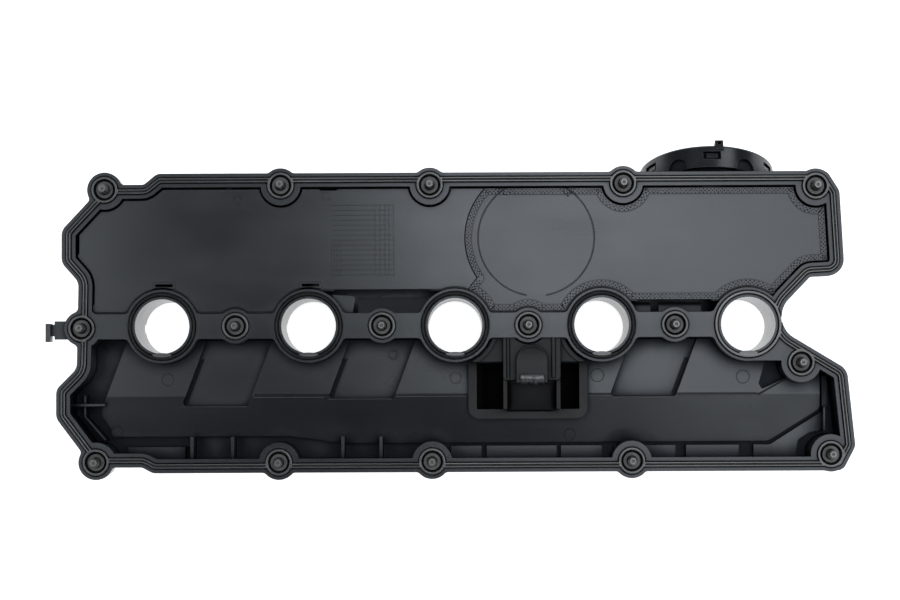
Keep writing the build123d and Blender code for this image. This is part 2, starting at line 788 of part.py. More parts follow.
def guard_hood(low):
    """Raised sheet over the throat, with two narrow grooves on its left and a rail on its right."""
    left = filler_centre[0] - hood_half_width
    right = filler_centre[0] + hood_half_width
    top = low + guard_sheet
    outline = face_from([
        (left, -spine_half_width, 0), (right, -spine_half_width, 0),
        (right, hood_low_y, 2.4), (left, hood_low_y, 2.4),
    ])
    sheet = prism(outline, low, top)
    along = (hood_low_y + 1, -spine_half_width)
    for x in (left + rail_groove, left + 2 * rail_groove):
        sheet -= block((x, x + rail_groove / 3), along, (top - tongue_rim, top + 1))
    rail = block((right - 2 * rail_width, right - rail_width), (hood_low_y + 1.5, -spine_half_width),
                 (top, top + rail_height))
    return sheet + chamfer(rail.edges().filter_by(Axis.Y).sort_by(Axis.Z)[-2:], rail_height - 0.2)


def guard_tongue(low):
    """Tongue with a half-round upper end, its face arched, with a thin rim along the arc."""
    x = filler_centre[0]
    y = hood_low_y + 11.5
    low_y = hood_low_y - 1.6
    outline = slot_pad(x, y, tongue_radius, low_y)
    high_y = y + tongue_radius
    side = make_face([
        Polyline((low_y, tongue_height), (low_y, 0), (high_y, 0), (high_y, tongue_rim)),
        ThreePointArc((high_y, tongue_rim), ((high_y + low_y) / 2 + 2, tongue_height - 0.5),
                      (low_y, tongue_height)),
    ])
    arch = extrude(Plane.YZ * side, reach, both=True)
    body = prism(outline, 0, tongue_height) & arch
    rim = slot_pad(x, y, tongue_radius, y) - slot_pad(x, y, tongue_radius - tongue_rim, y)
    return Pos(0, 0, low) * (body + prism(rim, 0, 2.2 * tongue_rim))


def filler_splash_guard():
    """Welded guard under the oil filler: frame, upper web, hood over the throat and its tongue."""
    low = -panel_depth
    window_top = hood_low_y + 11
    web_top = -guard_web_drop
    hood_top = web_top + guard_sheet
    window = guard_window()
    web_x = (window[0] - guard_sheet, window[1] + guard_sheet)
    web = block(web_x, (window_top, -spine_half_width), (web_top - guard_sheet, web_top))
    hugging = circles(well_places(), well_rim_radius + guard_leg)
    strip = block(web_x, (window_top, -spine_half_width), (web_top, 0))
    web += [prism(circle, web_top, web_top + tongue_rim) & strip for circle in hugging]
    legs = [block(side, (window_top, window_top + guard_leg), (low + 0.02, web_top)) for side in
            ((web_x[0], window[0]), (window[1], web_x[1]))]
    hood_x = (filler_centre[0] - hood_half_width, filler_centre[0] + hood_half_width)
    cheeks = [block(side, (guard_low_y + guard_border, window_top + 2), (low, web_top)) for side in
              ((hood_x[0], hood_x[0] + guard_sheet), (hood_x[1] - guard_sheet, hood_x[1]))]
    cheek_cut = Pos(filler_centre[0], guard_low_y + guard_border, 0) * Rot(guard_cheek_angle, 0, 0)
    cheek_cut *= Box(3 * hood_half_width, 40, 40, align=(Align.CENTER, Align.CENTER, Align.MIN))
    body = guard_frame(window_top) + web + legs + guard_hood(web_top)
    body += [cheek - cheek_cut for cheek in cheeks]
    body += guard_tongue(hood_top)
    clear = circles(well_places(), well_rim_radius + 1.5) + circles(spine_bolts, ear_radius + 1)
    return body - [prism(circle, low, 5) for circle in clear]


def slot_pad(x, y, radius, low_y):
    """Flat outline with a half-round upper end and a straight lower end."""
    return Pos(x, y) * Circle(radius) + Pos(x, (y + low_y) / 2) * Rectangle(2 * radius, y - low_y)


def breather_cap():
    """Snap-on cap of the crankcase breather with its windows, finger recesses and vent post."""
    body = breather_disc(0, breather_height, breather_radius)
    body = fillet(body.edges().sort_by(Axis.Y)[-1], 1.2)
    body -= breather_disc(breather_wall, breather_height, breather_radius - breather_wall)
    body += breather_disc(-1.2, 1.2, breather_radius - 12) - breather_disc(-1.2, 1.2, breather_radius - 15)
    for index in range(snap_count):
        turn = breather_plane(0) * Rot(0, 0, 90 + index * 360 / snap_count)
        body -= turn * Pos(breather_radius, 0, snap_along + 2.5) * Box(4 * breather_wall, 10.4, 5)
        turn = breather_plane(0) * Rot(0, 0, 90 + (index + 0.5) * 360 / snap_count)
        arch = Pos(0, snap_along + 9) * Circle(6) + Pos(0, snap_along + 18) * Rectangle(12, 18)
        recess = extrude(Plane.YZ * arch, 4)
        body -= turn * Pos(breather_radius - 1.2, 0, 0) * recess
    post = breather_plane(-3) * Pos(vent_x, breather_radius - 6, 3) * Box(5, 13, 6)
    post -= breather_plane(-3) * Pos(vent_x, breather_radius, 1.8) * Rot(90, 0, 0) * Cylinder(1.1, 6)
    return body + (post - breather_disc(breather_wall, 20, breather_radius))


def breather_diaphragm():
    """Rubber diaphragm with a thick bead at its edge."""
    low = breather_wall + fit_clearance
    bead = breather_disc(low, seat_along - low, housing_radius - fit_clearance)
    bead -= breather_disc(low, seat_along - low, housing_radius - 2.4)
    sheet = breather_disc(seat_along - diaphragm_thickness, diaphragm_thickness, housing_radius - 2)
    return bead + sheet - breather_disc(low, seat_along, stem_radius + cap_clearance)


def breather_valve_plate():
    """Plate that the diaphragm carries, with a stem through it, closing on the port."""
    plate = breather_disc(seat_along, plate_height, valve_radius)
    stem = breather_disc(seat_along - diaphragm_thickness, diaphragm_thickness, stem_radius)
    return plate + stem


def breather_spring():
    """Wire spring that holds the valve plate off the port."""
    low = seat_along + plate_height + spring_wire / 2
    height = shelf_along - spring_wire / 2 - low
    path = Helix(height / spring_turns, height, spring_radius)
    section = Plane(origin=path @ 0, z_dir=path % 0) * Circle(spring_wire / 2)
    return breather_plane(low) * sweep(section, path=path)


def oil_filler_cap():
    """Quarter-turn cap of the oil filler with its lugs, skirt and grip bar."""
    x, y = filler_centre
    end = -filler_neck_depth
    face = end - cap_seal_thickness
    ledge_top = end + ledge_height
    plug_top = ledge_top + cap_clearance + lug_height
    plug = disc(filler_centre, ledge_radius - cap_clearance, face, plug_top)
    lugs = Pos(x, y, plug_top - lug_height / 2) * Box(2 * filler_throat_radius, lug_width, lug_height)
    lugs &= disc(filler_centre, filler_throat_radius - cap_clearance, face, plug_top)
    top = disc(filler_centre, cap_radius, face - cap_height, face)
    skirt_inner = filler_throat_radius + filler_neck_wall + cap_clearance
    skirt = disc(filler_centre, cap_radius, face, face + 5) - disc(filler_centre, skirt_inner, face, face + 5)
    body = plug + lugs + top + skirt
    for index in range(grip_count):
        turn = Pos(x, y, face - cap_height / 2) * Rot(0, 0, index * 360 / grip_count)
        body -= turn * Pos(cap_radius + 1.6, 0, 0) * Cylinder(3, cap_height + 14)
    grip = Pos(x, y, face - cap_height - 2) * Box(1.6 * cap_radius, 7, 6)
    return body + fillet(grip.edges().filter_by(Axis.Z), 3)


def filler_cap_seal():
    """Flat rubber ring between the filler neck and its cap."""
    end = -filler_neck_depth
    outer = filler_throat_radius + filler_neck_wall - 0.5
    low = end - cap_seal_thickness
    ring = disc(filler_centre, outer, low, end - fit_clearance)
    return ring - disc(filler_centre, ledge_radius, low, end)


def save(name, shape):
    """Writes one sub-part."""
    export_step(shape, os.path.join("parts", name + ".step"))


def main():
    """Writes every sub-part of the valve cover."""
    os.makedirs("parts", exist_ok=True)
    save("cover_shell", cover_shell())
    save("perimeter_gasket", perimeter_gasket())
    for number, x in enumerate(well_xs[:-1], start=1):
        save("coil_well_seal_" + str(number), coil_well_seal(x))
    save("centre_bolt_seals", Compound([ring_seal(place) for place in spine_bolts]))
    save("mounting_bolts", Compound([mounting_bolt(place) for place in bolt_places]))
    save("bolt_sleeves", Compound([bolt_sleeve(place) for place in bolt_places]))
    save("bolt_grommets", Compound([bolt_grommet(place) for place in bolt_places]))
    save("separator_plate_left", separator_plate_left())
    save("separator_plate_right", separator_plate_right())
    save("filler_splash_guard", filler_splash_guard())
    save("breather_cap", breather_cap())
    save("breather_diaphragm", breather_diaphragm())
    save("breather_valve_plate", breather_valve_plate())
    save("breather_spring", breather_spring())
    save("oil_filler_cap", oil_filler_cap())
    save("filler_cap_seal", filler_cap_seal())


main()
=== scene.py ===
import bpy
import bmesh
import random
from math import cos, pi, radians, sin
from mathutils import Matrix, Vector


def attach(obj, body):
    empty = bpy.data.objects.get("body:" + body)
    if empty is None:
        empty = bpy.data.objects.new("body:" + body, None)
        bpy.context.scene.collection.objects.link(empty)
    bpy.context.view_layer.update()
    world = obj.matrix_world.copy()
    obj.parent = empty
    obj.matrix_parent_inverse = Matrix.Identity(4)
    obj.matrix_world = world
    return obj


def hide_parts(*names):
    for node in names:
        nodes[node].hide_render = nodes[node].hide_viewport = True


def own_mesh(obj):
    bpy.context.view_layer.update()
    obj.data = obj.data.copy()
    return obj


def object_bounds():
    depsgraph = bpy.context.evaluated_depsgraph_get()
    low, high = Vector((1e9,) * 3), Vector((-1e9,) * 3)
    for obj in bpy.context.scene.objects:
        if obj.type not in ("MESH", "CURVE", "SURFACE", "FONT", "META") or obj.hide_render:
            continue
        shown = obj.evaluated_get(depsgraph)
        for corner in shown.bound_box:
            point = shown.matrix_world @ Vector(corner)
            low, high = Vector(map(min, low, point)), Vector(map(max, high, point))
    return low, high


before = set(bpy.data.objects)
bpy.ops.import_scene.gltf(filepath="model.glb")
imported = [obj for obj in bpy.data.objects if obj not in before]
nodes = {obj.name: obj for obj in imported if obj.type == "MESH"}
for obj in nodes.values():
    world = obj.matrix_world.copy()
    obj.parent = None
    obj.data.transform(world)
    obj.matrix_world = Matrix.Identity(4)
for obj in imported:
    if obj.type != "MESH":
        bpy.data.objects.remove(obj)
cad_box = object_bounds()
MM = 0.001

# --- camera: distance above the gasket plane, foot of its perpendicular, and the point in mid frame ---
camera_height = 1.580
camera_foot = (0.0, -0.042)
frame_centre = (-0.003, 0.0152, 0.0)
camera_lens = 105.3
camera_roll = radians(-0.25)

# --- surroundings: lights, floor and world ---
light_tint = (0.92, 0.96, 1.0)
floor_half = 6.0
floor_gap = 0.002
floor_glow = 0.9
world_strength = 0.09

# --- colours of the moulded parts ---
nylon_black = (0.0075, 0.0085, 0.0105, 1)
plate_black = (0.0065, 0.0075, 0.0090, 1)
plate_grey = (0.024, 0.026, 0.031, 1)
guard_black = (0.008, 0.008, 0.0085, 1)
rubber_black = (0.012, 0.012, 0.012, 1)
# painted shade: matt black laid over the deep sump under the filler guard
sump_shade_black = (0.012, 0.012, 0.012, 1)
cool_gloss = (0.93, 0.965, 1, 1)
hollow_reach = 0.013
sump_shade_border = 0.0008

# --- layout repeated from the cover, in millimetres ---
pitch = 88.0
well_xs = [(index - 2) * pitch for index in range(5)]
well_radius = 16.4
seal_seat_radius = 17.9
well_rim_reach = 26.5
spine_edge_y = 14
panel_level = -18.0
panel_slope_y = -42.0
panel_fall = 4.0 / 24.5
plate_top = -2.0
plate_foot = -3.0
bolt_radius = 2.5
bolt_reach = 11.0
thread_pitch = 0.8
thread_turns = 11.5
thread_start = -0.6


def shader_tree(name):
    """A new node material and its Principled shader."""
    material = bpy.data.materials.new(name)
    material.use_nodes = True
    return material, material.node_tree, material.node_tree.nodes["Principled BSDF"]


def add_node(tree, kind, values=None, **settings):
    """A new node with its settings, and with values for its inputs by name or number."""
    node = tree.nodes.new(kind)
    for key, value in settings.items():
        setattr(node, key, value)
    for key, value in (values or {}).items():
        node.inputs[key].default_value = value
    return node


def new_group(name, inputs, outputs):
    """Empty shader group with named sockets; returns the tree and its two end nodes."""
    group = bpy.data.node_groups.new(name, "ShaderNodeTree")
    for label, kind, value in inputs:
        socket = group.interface.new_socket(label, in_out="INPUT", socket_type=kind)
        socket.default_value = value
    for label, kind in outputs:
        group.interface.new_socket(label, in_out="OUTPUT", socket_type=kind)
    return group, group.nodes.new("NodeGroupInput"), group.nodes.new("NodeGroupOutput")


def moulded_grain():
    """Fine erosion grain of a moulded surface with broad soft unevenness."""
    group, start, end = new_group(
        "moulded_grain",
        [("Grain Size", "NodeSocketFloat", 900.0), ("Unevenness", "NodeSocketFloat", 0.3),
         ("Flow Marks", "NodeSocketFloat", 0.3)],
        [("Height", "NodeSocketFloat"), ("Clouds", "NodeSocketFloat")])
    place = add_node(group, "ShaderNodeTexCoord")
    along = add_node(group, "ShaderNodeMapping", {"Scale": (12, 90, 90)})
    flow = add_node(group, "ShaderNodeTexNoise", {"Scale": 1.0, "Detail": 4})
    clouds = add_node(group, "ShaderNodeMix")
    fine = add_node(group, "ShaderNodeTexNoise", {"Detail": 3})
    broad = add_node(group, "ShaderNodeTexNoise", {"Scale": 14, "Detail": 5})
    mixed = add_node(group, "ShaderNodeMath", operation="MULTIPLY_ADD")
    link = group.links.new
    link(place.outputs["Object"], fine.inputs["Vector"])
    link(place.outputs["Object"], broad.inputs["Vector"])
    link(place.outputs["Object"], along.inputs["Vector"])
    link(along.outputs["Vector"], flow.inputs["Vector"])
    link(start.outputs["Flow Marks"], clouds.inputs["Factor"])
    link(broad.outputs["Fac"], clouds.inputs["A"])
    link(flow.outputs["Fac"], clouds.inputs["B"])
    link(start.outputs["Grain Size"], fine.inputs["Scale"])
    link(broad.outputs["Fac"], mixed.inputs[0])
    link(start.outputs["Unevenness"], mixed.inputs[1])
    link(fine.outputs["Fac"], mixed.inputs[2])
    link(mixed.outputs[0], end.inputs["Height"])
    link(clouds.outputs["Result"], end.inputs["Clouds"])
    return group


def edge_wear():
    """Mask of sharp edges, broken up by noise."""
    group, start, end = new_group(
        "edge_wear", [("Amount", "NodeSocketFloat", 0.5), ("Breakup", "NodeSocketFloat", 120.0)],
        [("Mask", "NodeSocketFloat")])
    shape = add_node(group, "ShaderNodeNewGeometry")
    sharp = add_node(group, "ShaderNodeMapRange", {"From Min": 0.52, "From Max": 0.62})
    place = add_node(group, "ShaderNodeTexCoord")
    noise = add_node(group, "ShaderNodeTexNoise")
    scaled = add_node(group, "ShaderNodeMath", operation="MULTIPLY")
    broken = add_node(group, "ShaderNodeMath", operation="MULTIPLY")
    link = group.links.new
    link(shape.outputs["Pointiness"], sharp.inputs["Value"])
    link(place.outputs["Object"], noise.inputs["Vector"])
    link(start.outputs["Breakup"], noise.inputs["Scale"])
    link(sharp.outputs["Result"], scaled.inputs[0])
    link(start.outputs["Amount"], scaled.inputs[1])
    link(scaled.outputs[0], broken.inputs[0])
    link(noise.outputs["Fac"], broken.inputs[1])
    link(broken.outputs[0], end.inputs["Mask"])
    return group


def box_mask(low, high):
    """Mask that is one inside a box in millimetres and fades to nothing over its soft border."""
    group, start, end = new_group("inside_box", [("Border", "NodeSocketFloat", 0.001)],
                                  [("Mask", "NodeSocketFloat")])
    centre = [(a + b) / 2 * MM for a, b in zip(low, high)]
    half = [(b - a) / 2 * MM for a, b in zip(low, high)]
    place = add_node(group, "ShaderNodeTexCoord")
    offset = add_node(group, "ShaderNodeVectorMath", {1: centre}, operation="SUBTRACT")
    spread = add_node(group, "ShaderNodeVectorMath", operation="ABSOLUTE")
    within = add_node(group, "ShaderNodeVectorMath", {0: half}, operation="SUBTRACT")
    parts = add_node(group, "ShaderNodeSeparateXYZ")
    across = add_node(group, "ShaderNodeMath", operation="MINIMUM")
    nearest = add_node(group, "ShaderNodeMath", operation="MINIMUM")
    fade = add_node(group, "ShaderNodeMapRange")
    link = group.links.new
    link(place.outputs["Object"], offset.inputs[0])
    link(offset.outputs[0], spread.inputs[0])
    link(spread.outputs[0], within.inputs[1])
    link(within.outputs[0], parts.inputs[0])
    link(parts.outputs[0], across.inputs[0])
    link(parts.outputs[1], across.inputs[1])
    link(across.outputs[0], nearest.inputs[0])
    link(parts.outputs[2], nearest.inputs[1])
    link(nearest.outputs[0], fade.inputs["Value"])
    link(start.outputs["Border"], fade.inputs["From Max"])
    link(fade.outputs["Result"], end.inputs["Mask"])
    return group


grain_group = moulded_grain()
wear_group = edge_wear()
# Painted shade: box round the deep sump under the filler guard
sump_shade_group = box_mask((12.5, -51.5, -30), (77.5, -22, -15.5))


def shaded(colour, share):
    """A colour made darker or lighter."""
    return tuple(min(1, part * share) for part in colour[:3]) + (1,)


def finish_material(name, base, worn, rough, grain_size, grain_depth, edge_radius, metal=0.0,
                    hollow=0.2, hollow_shade_amount=0.0, specular=0.5, gloss_tint=(1, 1, 1, 1)):
    """Colour from clouds and worn edges, gloss lost in hollows, grain bump on rounded edges.

    Painted shade: in hollows found by ambient occlusion, Metallic is raised only to darken them; the black
    plastics and rubber hold no metal.
    """
    material, tree, shader = shader_tree(name)
    link = tree.links.new
    grain = add_node(tree, "ShaderNodeGroup", node_tree=grain_group)
    wear = add_node(tree, "ShaderNodeGroup", node_tree=wear_group)
    for node, label, value in ((grain, "Grain Size", grain_size), (grain, "Unevenness", 0.35),
                               (grain, "Flow Marks", 0.35), (wear, "Amount", 0.5), (wear, "Breakup", 160.0)):
        node.inputs[label].default_value = value
    tint = add_node(tree, "ShaderNodeMixRGB", {"Color1": shaded(base, 0.82), "Color2": shaded(base, 1.18)})
    link(grain.outputs["Clouds"], tint.inputs["Fac"])
    edge = add_node(tree, "ShaderNodeMixRGB", {"Color2": worn})
    link(wear.outputs["Mask"], edge.inputs["Fac"])
    link(tint.outputs["Color"], edge.inputs["Color1"])
    link(edge.outputs["Color"], shader.inputs["Base Color"])
    gloss = add_node(tree, "ShaderNodeMapRange", {"From Min": 0.3, "From Max": 0.7, "To Min": rough - 0.04,
                                                  "To Max": rough + 0.06})
    link(grain.outputs["Clouds"], gloss.inputs["Value"])
    corners = add_node(tree, "ShaderNodeAmbientOcclusion", {"Distance": hollow_reach}, samples=8)
    hollow_dull_and_shade = add_node(tree, "ShaderNodeMapRange", {"From Min": 0.5, "From Max": 0.93, "To Min": 1.0, "To Max": 0.0})
    total = add_node(tree, "ShaderNodeMath", {1: hollow}, name="total_roughness", operation="MULTIPLY_ADD",
                     use_clamp=True)
    link(corners.outputs["AO"], hollow_dull_and_shade.inputs["Value"])
    link(hollow_dull_and_shade.outputs["Result"], total.inputs[0])
    link(gloss.outputs["Result"], total.inputs[2])
    link(total.outputs[0], shader.inputs["Roughness"])
    # Painted shade: the hollow mask raises Metallic over the near-black base, darkening hollows to stand in for
    # the shade in them.
    if hollow_shade_amount:
        painted_hollow_shade = add_node(tree, "ShaderNodeMath", {1: hollow_shade_amount}, name="painted_hollow_shade", operation="MULTIPLY")
        link(hollow_dull_and_shade.outputs["Result"], painted_hollow_shade.inputs[0])
        link(painted_hollow_shade.outputs[0], shader.inputs["Metallic"])
    shader.inputs["Metallic"].default_value = metal
    shader.inputs["Specular IOR Level"].default_value = specular
    shader.inputs["Specular Tint"].default_value = gloss_tint
    rounded = add_node(tree, "ShaderNodeBevel", {"Radius": edge_radius}, samples=4)
    bump = add_node(tree, "ShaderNodeBump", {"Strength": 0.5, "Distance": grain_depth})
    link(grain.outputs["Height"], bump.inputs["Height"])
    link(rounded.outputs["Normal"], bump.inputs["Normal"])
    link(bump.outputs["Normal"], shader.inputs["Normal"])
    return material


def darken_sump(material):
    """Painted shade: the deep sump under the filler guard is painted matt black, with roughness and Metallic
    raised so it gives back almost no light.
    """
    tree = material.node_tree
    link = tree.links.new
    shader = tree.nodes["Principled BSDF"]
    sump = add_node(tree, "ShaderNodeGroup", node_tree=sump_shade_group)
    sump.inputs["Border"].default_value = sump_shade_border
    for source, target in (("total_roughness", "Roughness"), ("painted_hollow_shade", "Metallic")):
        larger = add_node(tree, "ShaderNodeMath", operation="MAXIMUM")
        link(tree.nodes[source].outputs[0], larger.inputs[0])
        link(sump.outputs["Mask"], larger.inputs[1])
        link(larger.outputs[0], shader.inputs[target])
    colour = add_node(tree, "ShaderNodeMixRGB", {"Color2": sump_shade_black})
    link(sump.outputs["Mask"], colour.inputs["Fac"])
    link(shader.inputs["Base Color"].links[0].from_socket, colour.inputs["Color1"])
    link(colour.outputs["Color"], shader.inputs["Base Color"])


def dress(material, *names):
    """Gives a material to CAD nodes."""
    for name in names:
        slots = nodes[name].data.materials
        slots.clear()
        slots.append(material)


nylon = finish_material("moulded_nylon", nylon_black, (0.03, 0.032, 0.036, 1), 0.22, 1500, 0.00004, 0.0006,
                        hollow_shade_amount=0.95, gloss_tint=cool_gloss)
guard_nylon = finish_material("guard_nylon", guard_black, (0.03, 0.03, 0.03, 1), 0.36, 1300, 0.00006, 0.0006,
                              hollow_shade_amount=0.7, specular=0.2)
dark_plate = finish_material("plate_black_nylon", plate_black, (0.02, 0.02, 0.024, 1), 0.19, 1100, 0.00004,
                             0.0004, hollow_shade_amount=0.7, gloss_tint=cool_gloss)
grey_plate = finish_material("plate_grey_nylon", plate_grey, (0.05, 0.05, 0.06, 1), 0.24, 1100, 0.00004, 0.0004,
                             hollow_shade_amount=0.7, gloss_tint=cool_gloss)
rubber = finish_material("moulded_rubber", rubber_black, (0.04, 0.04, 0.04, 1), 0.26, 2200, 0.00004, 0.0003,
                         hollow=0.4, hollow_shade_amount=0.9, specular=0.95)
# Painted highlight: a lighter, more reflective copy of the black nylon, so the crease beads and the guard's
# tongue lip read as bright lines.
painted_highlight_edge = finish_material("painted_highlight_edge", (0.02, 0.021, 0.024, 1), (0.05, 0.05, 0.06, 1), 0.32, 1500,
                                0.00003, 0.0002, specular=1.0)
# Painted shade: near-black with a weak, rough reflection, so the raised studs of the weld strip read as shaded
# knurl pits.
pit_shade_black = finish_material("weld_pits_painted_shade", (0.004, 0.004, 0.004, 1), (0.01, 0.01, 0.01, 1), 0.75, 2200, 0.00003,
                            0.0001, specular=0.15)
steel = finish_material("zinc_plated_steel", (0.1, 0.1, 0.098, 1), (0.3, 0.3, 0.29, 1), 0.32, 2500, 0.00003,
                        0.0003, metal=1.0)
sleeve_steel = finish_material("sleeve_steel", (0.05, 0.05, 0.048, 1), (0.2, 0.2, 0.2, 1), 0.40, 2500, 0.00003,
                               0.0003, metal=1.0)
# Painted shade over the sump under the filler guard
darken_sump(nylon)

well_seals = ["coil_well_seal_" + str(number) for number in range(1, 5)]
dress(nylon, "cover_shell", "breather_cap", "oil_filler_cap", "breather_valve_plate")
dress(guard_nylon, "filler_splash_guard")
dress(dark_plate, "separator_plate_left")
dress(grey_plate, "separator_plate_right")
dress(rubber, "perimeter_gasket", "centre_bolt_seals", "bolt_grommets", "breather_diaphragm", "filler_cap_seal")
dress(rubber, *well_seals)
dress(steel, "mounting_bolts", "breather_spring")
dress(sleeve_steel, "bolt_sleeves")


def merged_copy(node):
    """Mesh of a CAD node with its loose triangles joined."""
    shape = bmesh.new()
    shape.from_mesh(nodes[node].data)
    bmesh.ops.remove_doubles(shape, verts=shape.verts, dist=1e-6)
    shape.normal_update()
    return shape


def draw_in(shape, side_gap, slit_gap):
    """Moves a seal's upright walls in from its groove, and those of the slit between its lips apart."""
    upright = 0.3
    same_wall = 0.998
    sharpest = 0.25
    moves = []
    for vert in shape.verts:
        walls = []
        inset = slit_gap
        for face in vert.link_faces:
            if abs(face.normal.z) > upright:
                continue
            if min(corner.co.z for corner in face.verts) < 0:
                inset = side_gap
            if all(face.normal.dot(wall) < same_wall for wall in walls):
                walls.append(face.normal.copy())
        if len(walls) == 1:
            moves.append((vert, -inset * walls[0]))
        elif walls:
            lean = max(sharpest, 1 + walls[0].dot(walls[1]))
            moves.append((vert, -inset * (walls[0] + walls[1]) / lean))
    for vert, move in moves:
        vert.co += Vector((move.x, move.y, 0))


def placed(name, data):
    """New object of the scene, at the origin."""
    thing = bpy.data.objects.new(name, data)
    bpy.context.scene.collection.objects.link(thing)
    return thing


def mesh_of(shape, name):
    """Plain mesh of a bmesh, which is freed."""
    mesh = bpy.data.meshes.new(name)
    shape.to_mesh(mesh)
    shape.free()
    return mesh


def add_piece(name, mesh, material, body, smooth=True):
    """Finished piece at the origin, on its body."""
    piece = placed(name, mesh)
    mesh.materials.clear()
    mesh.materials.append(material)
    if smooth:
        for polygon in mesh.polygons:
            polygon.use_smooth = True
    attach(piece, body)
    return piece


def evaluated_mesh(thing, name):
    """Plain mesh of an object with its modifiers applied; the object itself is removed."""
    graph = bpy.context.evaluated_depsgraph_get()
    mesh = bpy.data.meshes.new_from_object(thing.evaluated_get(graph))
    mesh.name = name
    thing.modifiers.clear()
    bpy.data.objects.remove(thing)
    return mesh


def rounded_seal(name, sources, edge, gaps, material):
    """Moulded seal with rounded lips, drawn in from its groove, made from the meshes of its CAD nodes."""
    shape = bmesh.new()
    for source in sources:
        part = merged_copy(source)
        draw_in(part, gaps[0] * MM, gaps[1] * MM)
        loose = mesh_of(part, "part")
        shape.from_mesh(loose)
        bpy.data.meshes.remove(loose)
    maker = placed(name, mesh_of(shape, name))
    bevel = maker.modifiers.new("rounding", "BEVEL")
    bevel.width = edge * MM
    bevel.segments = 3
    bevel.limit_method = "ANGLE"
    bevel.angle_limit = radians(50)
    piece = add_piece(name, evaluated_mesh(maker, name), material, "cover")
    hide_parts(*sources)
    return piece


def geometry_tree(name, numbers):
    """Geometry tree with named inputs; returns the tree and its two end nodes."""
    tree = bpy.data.node_groups.new(name, "GeometryNodeTree")
    face = tree.interface
    face.new_socket("Geometry", in_out="INPUT", socket_type="NodeSocketGeometry")
    for label, value in numbers:
        kind = "NodeSocketInt" if isinstance(value, int) else "NodeSocketFloat"
        face.new_socket(label, in_out="INPUT", socket_type=kind).default_value = value
    face.new_socket("Material", in_out="INPUT", socket_type="NodeSocketMaterial")
    face.new_socket("Geometry", in_out="OUTPUT", socket_type="NodeSocketGeometry")
    return tree, tree.nodes.new("NodeGroupInput"), tree.nodes.new("NodeGroupOutput")


def realized(tree, start, shape, end):
    """Makes a tree's shape real, gives it the material and hands it on."""
    solid = add_node(tree, "GeometryNodeRealizeInstances")
    paint = add_node(tree, "GeometryNodeSetMaterial")
    link = tree.links.new
    link(shape, solid.inputs["Geometry"])
    link(solid.outputs["Geometry"], paint.inputs["Geometry"])
    link(start.outputs["Material"], paint.inputs["Material"])
    link(paint.outputs["Geometry"], end.inputs["Geometry"])


def bead_tree():
    """Geometry tree that sweeps a round bead along every curve it is given."""
    tree, start, end = geometry_tree("swept_beads", (("Bead Radius", 0.0003), ("Bead Sides", 6)))
    ring = add_node(tree, "GeometryNodeCurvePrimitiveCircle")
    sweep = add_node(tree, "GeometryNodeCurveToMesh", {"Fill Caps": True})
    link = tree.links.new
    link(start.outputs["Bead Sides"], ring.inputs["Resolution"])
    link(start.outputs["Bead Radius"], ring.inputs["Radius"])
    link(start.outputs["Geometry"], sweep.inputs["Curve"])
    link(ring.outputs["Curve"], sweep.inputs["Profile Curve"])
    realized(tree, start, sweep.outputs["Mesh"], end)
    return tree


def stud_tree():
    """Geometry tree that sets a small pointed stud on every point it is given."""
    tree, start, end = geometry_tree(
        "small_studs", (("Stud Radius", 0.0005), ("Stud Height", 0.0004), ("Size Spread", 0.3)))
    cone = add_node(tree, "GeometryNodeMeshCone", {"Vertices": 4})
    place = add_node(tree, "GeometryNodeInstanceOnPoints")
    spread = add_node(tree, "FunctionNodeRandomValue", {"Seed": 7})
    low = add_node(tree, "ShaderNodeMath", {0: 1.0}, operation="SUBTRACT")
    link = tree.links.new
    link(start.outputs["Stud Radius"], cone.inputs["Radius Bottom"])
    link(start.outputs["Stud Height"], cone.inputs["Depth"])
    link(start.outputs["Geometry"], place.inputs["Points"])
    link(cone.outputs["Mesh"], place.inputs["Instance"])
    link(start.outputs["Size Spread"], low.inputs[1])
    link(low.outputs[0], spread.inputs[2])
    link(spread.outputs[1], place.inputs["Scale"])
    realized(tree, start, place.outputs["Instances"], end)
    return tree


bead_sweep = bead_tree()
stud_set = stud_tree()


def run_tree(maker, tree, values):
    """Gives an object a geometry tree with its named inputs set."""
    modifier = maker.modifiers.new(tree.name, "NODES")
    modifier.node_group = tree
    for socket in tree.interface.items_tree:
        if socket.in_out == "INPUT" and socket.name in values:
            modifier[socket.identifier] = values[socket.name]


def swept_beads(name, paths, radius, material, sides=6):
    """One piece of thin round beads along paths in millimetres; each path says whether it is closed."""
    data = bpy.data.curves.new(name, "CURVE")
    data.dimensions = "3D"
    for points, closed in paths:
        spline = data.splines.new("POLY")
        spline.points.add(len(points) - 1)
        for point, place in zip(spline.points, points):
            point.co = (place[0] * MM, place[1] * MM, place[2] * MM, 1)
        spline.use_cyclic_u = closed
    maker = placed(name, data)
    run_tree(maker, bead_sweep, {"Bead Radius": radius * MM, "Bead Sides": sides, "Material": material})
    return add_piece(name, evaluated_mesh(maker, name), material, "cover")


def small_studs(name, places, radius, height, spread, material):
    """One piece of small pointed studs standing at places in millimetres."""
    mesh = bpy.data.meshes.new(name)
    mesh.from_pydata([tuple(value * MM for value in place) for place in places], [], [])
    maker = placed(name, mesh)
    run_tree(maker, stud_set, {"Stud Radius": radius * MM, "Stud Height": height * MM,
                               "Size Spread": spread, "Material": material})
    return add_piece(name, evaluated_mesh(maker, name), material, "cover", smooth=False)


